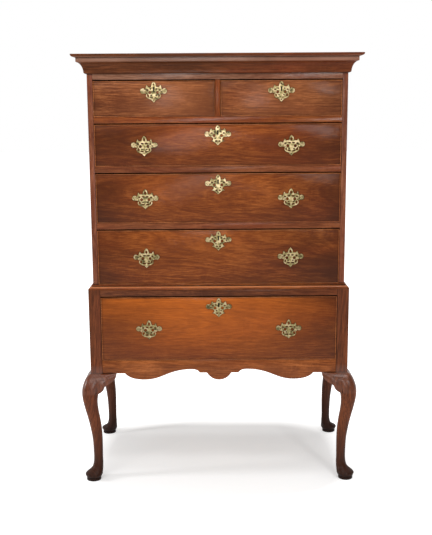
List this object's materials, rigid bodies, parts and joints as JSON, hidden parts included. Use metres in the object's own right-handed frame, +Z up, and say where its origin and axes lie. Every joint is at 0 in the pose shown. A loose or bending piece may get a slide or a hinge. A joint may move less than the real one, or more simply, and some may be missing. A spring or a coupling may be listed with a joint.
{
  "type": "highboy",
  "caption": "Oak chest on stand with graduated drawers, shaped apron, cabriole legs on pad feet and pierced brass bail handles.",
  "frame": {"origin": "on the floor under the middle of the stand", "axes": "+Z up, the drawers face -Y, +X to the right of someone facing them"},
  "size_m": [1.081, 0.592, 1.659],
  "materials": {
    "oak_case": "old wax polish over dark oak",
    "oak_front": "old wax polish over reddish-brown oak",
    "oak_legs": "dark oak with a soft shine",
    "oak_lining": "dry, unpolished oak",
    "brass": "pale worn cast brass"
  },
  "bodies": {
    "root": {"leg_front_left": "oak_legs", "leg_front_right": "oak_legs", "leg_rear_left": "oak_legs", "leg_rear_right": "oak_legs", "stand_top_rail": "oak_case", "stand_back": "oak_case", "apron": "oak_case", "stand_side_left": "oak_case", "stand_side_right": "oak_case", "stand_runner_frame": "oak_lining", "waist_moulding": "oak_case", "upper_side_left": "oak_case", "upper_side_right": "oak_case", "upper_top_board": "oak_case", "upper_bottom_board": "oak_case", "upper_back_panel": "oak_lining", "frieze_rail": "oak_case", "drawer_rail_lower": "oak_case", "drawer_rail_middle": "oak_case", "drawer_rail_upper": "oak_case", "short_drawer_divider": "oak_case", "cornice_front": "oak_case", "cornice_left": "oak_case", "cornice_right": "oak_case"},
    "drawer_short_left": {"drawer_short_left_front": "oak_front", "drawer_short_left_box": "oak_lining", "drawer_short_left_plate": "brass"},
    "drawer_short_left_handle": {"drawer_short_left_bail": "brass"},
    "drawer_short_right": {"drawer_short_right_front": "oak_front", "drawer_short_right_box": "oak_lining", "drawer_short_right_plate": "brass"},
    "drawer_short_right_handle": {"drawer_short_right_bail": "brass"},
    "drawer_upper": {"drawer_upper_front": "oak_front", "drawer_upper_box": "oak_lining", "drawer_upper_plate_left": "brass", "drawer_upper_plate_right": "brass", "drawer_upper_escutcheon": "brass"},
    "drawer_upper_handle_left": {"drawer_upper_bail_left": "brass"},
    "drawer_upper_handle_right": {"drawer_upper_bail_right": "brass"},
    "drawer_middle": {"drawer_middle_front": "oak_front", "drawer_middle_box": "oak_lining", "drawer_middle_plate_left": "brass", "drawer_middle_plate_right": "brass", "drawer_middle_escutcheon": "brass"},
    "drawer_middle_handle_left": {"drawer_middle_bail_left": "brass"},
    "drawer_middle_handle_right": {"drawer_middle_bail_right": "brass"},
    "drawer_lower": {"drawer_lower_front": "oak_front", "drawer_lower_box": "oak_lining", "drawer_lower_plate_left": "brass", "drawer_lower_plate_right": "brass", "drawer_lower_escutcheon": "brass"},
    "drawer_lower_handle_left": {"drawer_lower_bail_left": "brass"},
    "drawer_lower_handle_right": {"drawer_lower_bail_right": "brass"},
    "drawer_deep": {"drawer_deep_front": "oak_front", "drawer_deep_box": "oak_lining", "drawer_deep_plate_left": "brass", "drawer_deep_plate_right": "brass", "drawer_deep_escutcheon": "brass"},
    "drawer_deep_handle_left": {"drawer_deep_bail_left": "brass"},
    "drawer_deep_handle_right": {"drawer_deep_bail_right": "brass"}
  },
  "joints": [
    {"name": "drawer_short_left_slide", "type": "slide", "parent": "root", "child": "drawer_short_left", "axis": [0, -1, 0], "range_m": [0, 0.36]},
    {"name": "drawer_short_left_bail_swing", "type": "hinge", "parent": "drawer_short_left", "child": "drawer_short_left_handle", "pos_m": [-0.2382, -0.2561, 1.5205], "axis": [-1, 0, 0], "range_deg": [-20, 120]},
    {"name": "drawer_short_right_slide", "type": "slide", "parent": "root", "child": "drawer_short_right", "axis": [0, -1, 0], "range_m": [0, 0.36]},
    {"name": "drawer_short_right_bail_swing", "type": "hinge", "parent": "drawer_short_right", "child": "drawer_short_right_handle", "pos_m": [0.2382, -0.2561, 1.5205], "axis": [-1, 0, 0], "range_deg": [-20, 120]},
    {"name": "drawer_upper_slide", "type": "slide", "parent": "root", "child": "drawer_upper", "axis": [0, -1, 0], "range_m": [0, 0.36]},
    {"name": "drawer_upper_bail_left_swing", "type": "hinge", "parent": "drawer_upper", "child": "drawer_upper_handle_left", "pos_m": [-0.2775, -0.2561, 1.3212], "axis": [-1, 0, 0], "range_deg": [-20, 120]},
    {"name": "drawer_upper_bail_right_swing", "type": "hinge", "parent": "drawer_upper", "child": "drawer_upper_handle_right", "pos_m": [0.2775, -0.2561, 1.3212], "axis": [-1, 0, 0], "range_deg": [-20, 120]},
    {"name": "drawer_middle_slide", "type": "slide", "parent": "root", "child": "drawer_middle", "axis": [0, -1, 0], "range_m": [0, 0.36]},
    {"name": "drawer_middle_bail_left_swing", "type": "hinge", "parent": "drawer_middle", "child": "drawer_middle_handle_left", "pos_m": [-0.2775, -0.2561, 1.1207], "axis": [-1, 0, 0], "range_deg": [-20, 120]},
    {"name": "drawer_middle_bail_right_swing", "type": "hinge", "parent": "drawer_middle", "child": "drawer_middle_handle_right", "pos_m": [0.2775, -0.2561, 1.1207], "axis": [-1, 0, 0], "range_deg": [-20, 120]},
    {"name": "drawer_lower_slide", "type": "slide", "parent": "root", "child": "drawer_lower", "axis": [0, -1, 0], "range_m": [0, 0.36]},
    {"name": "drawer_lower_bail_left_swing", "type": "hinge", "parent": "drawer_lower", "child": "drawer_lower_handle_left", "pos_m": [-0.2775, -0.2561, 0.8931], "axis": [-1, 0, 0], "range_deg": [-20, 120]},
    {"name": "drawer_lower_bail_right_swing", "type": "hinge", "parent": "drawer_lower", "child": "drawer_lower_handle_right", "pos_m": [0.2775, -0.2561, 0.8931], "axis": [-1, 0, 0], "range_deg": [-20, 120]},
    {"name": "drawer_deep_slide", "type": "slide", "parent": "root", "child": "drawer_deep", "axis": [0, -1, 0], "range_m": [0, 0.36]},
    {"name": "drawer_deep_bail_left_swing", "type": "hinge", "parent": "drawer_deep", "child": "drawer_deep_handle_left", "pos_m": [-0.2715, -0.2741, 0.6137], "axis": [-1, 0, 0], "range_deg": [-20, 120]},
    {"name": "drawer_deep_bail_right_swing", "type": "hinge", "parent": "drawer_deep", "child": "drawer_deep_handle_right", "pos_m": [0.2715, -0.2741, 0.6137], "axis": [-1, 0, 0], "range_deg": [-20, 120]}
  ]
}
